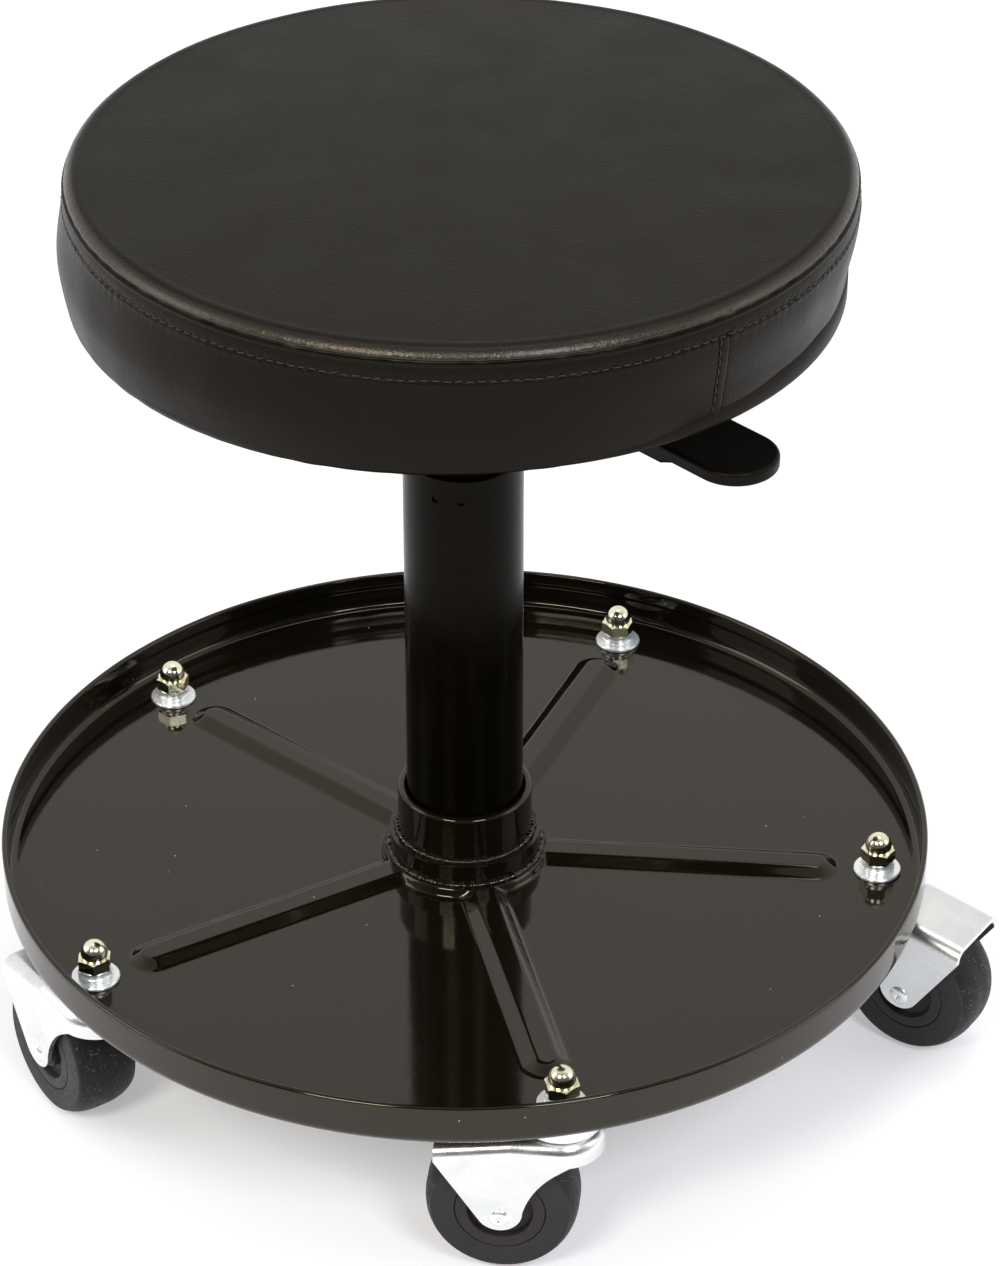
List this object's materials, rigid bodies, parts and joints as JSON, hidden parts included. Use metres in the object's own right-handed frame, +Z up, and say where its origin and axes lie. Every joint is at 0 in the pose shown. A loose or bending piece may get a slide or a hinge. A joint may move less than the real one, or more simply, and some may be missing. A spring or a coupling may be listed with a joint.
{
  "type": "creeper seat",
  "caption": "Round padded stool on a gas-sprung column that turns and rises by a lever, over a round rimmed tool tray on swivel casters.",
  "frame": {"origin": "on the floor, on the column's axis", "axes": "+Z up along the column, -Y towards the camera of the picture, +X to its right"},
  "size_m": [0.4298, 0.4052, 0.4145],
  "materials": {
    "gloss_black": "gloss black enamel",
    "satin_black": "satin black enamel",
    "zinc": "bright zinc plating",
    "nickel": "polished nickel plating",
    "steel": "ground steel",
    "black_plastic": "moulded, fine texture",
    "wheel_plastic": "moulded, satin",
    "wheel_rubber": "matte moulded rubber",
    "rubber": "matte",
    "plywood": "raw plywood",
    "foam": "open-cell foam",
    "vinyl": "fine-grained vinyl with a soft gloss"
  },
  "bodies": {
    "base": {"tray": "gloss_black", "hub_ring": "gloss_black", "hub_collar": "gloss_black", "weld_beads": "gloss_black", "column_tube": "gloss_black", "column_end_plate": "zinc", "guide_sleeve": "black_plastic", "sleeve_pins": "zinc", "thrust_washer_lower": "steel", "caster_stems": "zinc", "swivel_races": "zinc", "swivel_balls": "steel", "flat_washers": "zinc", "spring_washers": "zinc", "acorn_nuts": "nickel"},
    "rod": {"piston_rod": "steel", "piston": "black_plastic", "rod_clip": "steel", "thrust_washer_upper": "steel", "thrust_balls": "steel", "bumper": "rubber"},
    "seat": {"gas_cylinder": "satin_black", "cylinder_gland": "black_plastic", "valve_body": "steel", "plate_socket": "satin_black", "lever_bracket": "satin_black", "pivot_pin": "zinc", "seat_plate": "satin_black", "plate_screws": "zinc", "tee_nuts": "zinc", "seat_board": "plywood", "foam_pad": "foam", "vinyl_cover": "vinyl", "cover_staples": "steel"},
    "release_pin": {"release_pin": "steel"},
    "lever": {"lever_rod": "zinc", "lever_paddle": "black_plastic"},
    "caster_1": {"caster_fork_1": "zinc", "caster_axle_1": "zinc"},
    "wheel_1": {"wheel_core_1": "wheel_plastic", "wheel_tyre_1": "wheel_rubber"},
    "caster_2": {"caster_fork_2": "zinc", "caster_axle_2": "zinc"},
    "wheel_2": {"wheel_core_2": "wheel_plastic", "wheel_tyre_2": "wheel_rubber"},
    "caster_3": {"caster_fork_3": "zinc", "caster_axle_3": "zinc"},
    "wheel_3": {"wheel_core_3": "wheel_plastic", "wheel_tyre_3": "wheel_rubber"},
    "caster_4": {"caster_fork_4": "zinc", "caster_axle_4": "zinc"},
    "wheel_4": {"wheel_core_4": "wheel_plastic", "wheel_tyre_4": "wheel_rubber"},
    "caster_5": {"caster_fork_5": "zinc", "caster_axle_5": "zinc"},
    "wheel_5": {"wheel_core_5": "wheel_plastic", "wheel_tyre_5": "wheel_rubber"}
  },
  "joints": [
    {"name": "seat_swivel", "type": "hinge", "parent": "base", "child": "rod", "pos_m": [0, 0, 0.0735], "axis": [0, 0, 1], "continuous": true},
    {"name": "seat_height", "type": "slide", "parent": "rod", "child": "seat", "axis": [0, 0, 1], "range_m": [0, 0.12]},
    {"name": "lever_tilt", "type": "hinge", "parent": "seat", "child": "lever", "pos_m": [0.02203, -0.02321, 0.3395], "axis": [-0.7254, -0.6884, 0], "range_deg": [0, 4.8], "stiffness_Nm_per_rad": 0.5, "springref_deg": -11.46},
    {"name": "pin_press", "type": "slide", "parent": "seat", "child": "release_pin", "axis": [0, 0, 1], "range_m": [-0.0028, 0]},
    {"name": "caster_1_swivel", "type": "hinge", "parent": "base", "child": "caster_1", "pos_m": [0.07052, 0.16453, 0.0695], "axis": [0, 0, 1], "continuous": true},
    {"name": "wheel_1_roll", "type": "hinge", "parent": "caster_1", "child": "wheel_1", "pos_m": [0.05016, 0.17627, 0.0315], "axis": [-0.5, -0.866, 0], "continuous": true},
    {"name": "caster_2_swivel", "type": "hinge", "parent": "base", "child": "caster_2", "pos_m": [-0.13468, 0.1179, 0.0695], "axis": [0, 0, 1], "continuous": true},
    {"name": "wheel_2_roll", "type": "hinge", "parent": "caster_2", "child": "wheel_2", "pos_m": [-0.12293, 0.13826, 0.0315], "axis": [-0.866, 0.5, 0], "continuous": true},
    {"name": "caster_3_swivel", "type": "hinge", "parent": "base", "child": "caster_3", "pos_m": [-0.15375, -0.09166, 0.0695], "axis": [0, 0, 1], "continuous": true},
    {"name": "wheel_3_roll", "type": "hinge", "parent": "caster_3", "child": "wheel_3", "pos_m": [-0.16723, -0.07241, 0.0315], "axis": [-0.8192, -0.5736, 0], "continuous": true},
    {"name": "caster_4_swivel", "type": "hinge", "parent": "base", "child": "caster_4", "pos_m": [0.03966, -0.17455, 0.0695], "axis": [0, 0, 1], "continuous": true},
    {"name": "wheel_4_roll", "type": "hinge", "parent": "caster_4", "child": "wheel_4", "pos_m": [0.01631, -0.17189, 0.0315], "axis": [-0.1132, -0.9936, 0], "continuous": true},
    {"name": "caster_5_swivel", "type": "hinge", "parent": "base", "child": "caster_5", "pos_m": [0.17826, -0.01622, 0.0695], "axis": [0, 0, 1], "continuous": true},
    {"name": "wheel_5_roll", "type": "hinge", "parent": "caster_5", "child": "wheel_5", "pos_m": [0.19775, -0.02936, 0.0315], "axis": [0.5592, 0.829, 0], "continuous": true}
  ],
  "couplings": [
    {"joint": "pin_press", "follows": "lever_tilt", "m_per_rad": -0.032}
  ]
}
